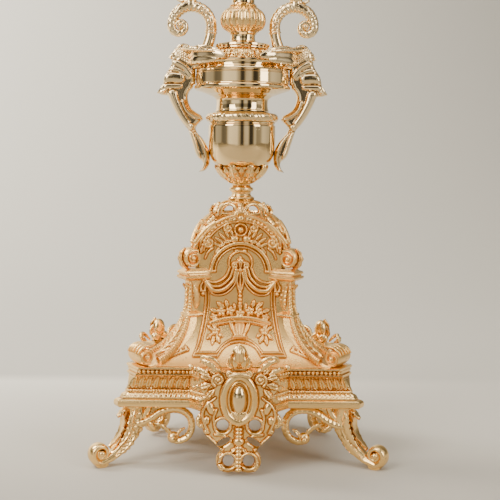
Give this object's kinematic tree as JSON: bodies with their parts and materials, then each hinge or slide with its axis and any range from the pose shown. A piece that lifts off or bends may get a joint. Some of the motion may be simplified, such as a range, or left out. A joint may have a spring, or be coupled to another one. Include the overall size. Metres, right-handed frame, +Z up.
{
  "type": "candelabrum",
  "caption": "Branched brass altar candelabrum on a three-sided arched pedestal with scroll feet, a cup-and-drum stem, winged brackets and lift-out candle nozzles.",
  "frame": {"origin": "on the standing plane, directly under the axis of the stem", "axes": "+Z up along the stem; -Y is the front, the way the front panel faces; the branches spread along X"},
  "size_m": [0.3952, 0.2463, 0.6344],
  "materials": {
    "brass_polished": "mirror-polished and lacquered",
    "brass_cast": "cast relief, burnished on the high parts, darker in the recesses",
    "steel_hardware": "plain turned steel"
  },
  "bodies": {
    "candelabrum": {"foot_left": "brass_cast", "foot_right": "brass_cast", "foot_rear": "brass_cast", "foot_screws": "steel_hardware", "plinth": "brass_cast", "plinth_plate": "brass_cast", "apron_front": "brass_cast", "apron_right": "brass_cast", "apron_left": "brass_cast", "apron_pins": "steel_hardware", "panel_front": "brass_cast", "panel_right": "brass_cast", "panel_left": "brass_cast", "strap_left": "brass_cast", "strap_right": "brass_cast", "strap_rear": "brass_cast", "roof_cap": "brass_cast", "crown": "brass_cast", "tie_rod": "steel_hardware", "rod_washer": "steel_hardware", "rod_nut": "steel_hardware", "neck_baluster": "brass_polished", "leaf_calyx": "brass_cast", "cup": "brass_polished", "cup_rim": "brass_polished", "spool": "brass_polished", "drum": "brass_polished", "drum_step": "brass_polished", "domed_collar": "brass_cast", "disc": "brass_polished", "throat": "brass_polished", "gadrooned_knop": "brass_cast", "upper_neck": "brass_polished", "stem_tube": "brass_polished", "branch_hub": "brass_polished", "top_stem": "brass_polished", "bracket_left": "brass_cast", "bracket_right": "brass_cast", "bracket_screws": "steel_hardware", "scroll_left": "brass_cast", "scroll_right": "brass_cast", "branch_outer_left": "brass_polished", "branch_outer_right": "brass_polished", "branch_inner_left": "brass_polished", "branch_inner_right": "brass_polished", "pan_outer_left": "brass_polished", "pan_inner_left": "brass_polished", "pan_centre": "brass_polished", "pan_inner_right": "brass_polished", "pan_outer_right": "brass_polished", "socket_outer_left": "brass_polished", "socket_inner_left": "brass_polished", "socket_centre": "brass_polished", "socket_inner_right": "brass_polished", "socket_outer_right": "brass_polished"},
    "nozzle_outer_left": {"nozzle_outer_left": "brass_polished"},
    "nozzle_inner_left": {"nozzle_inner_left": "brass_polished"},
    "nozzle_centre": {"nozzle_centre": "brass_polished"},
    "nozzle_inner_right": {"nozzle_inner_right": "brass_polished"},
    "nozzle_outer_right": {"nozzle_outer_right": "brass_polished"}
  },
  "joints": [
    {"name": "nozzle_outer_left_lift", "type": "slide", "parent": "candelabrum", "child": "nozzle_outer_left", "axis": [0, 0, 1], "range_m": [0, 0.045]},
    {"name": "nozzle_inner_left_lift", "type": "slide", "parent": "candelabrum", "child": "nozzle_inner_left", "axis": [0, 0, 1], "range_m": [0, 0.045]},
    {"name": "nozzle_centre_lift", "type": "slide", "parent": "candelabrum", "child": "nozzle_centre", "axis": [0, 0, 1], "range_m": [0, 0.045]},
    {"name": "nozzle_inner_right_lift", "type": "slide", "parent": "candelabrum", "child": "nozzle_inner_right", "axis": [0, 0, 1], "range_m": [0, 0.045]},
    {"name": "nozzle_outer_right_lift", "type": "slide", "parent": "candelabrum", "child": "nozzle_outer_right", "axis": [0, 0, 1], "range_m": [0, 0.045]}
  ]
}
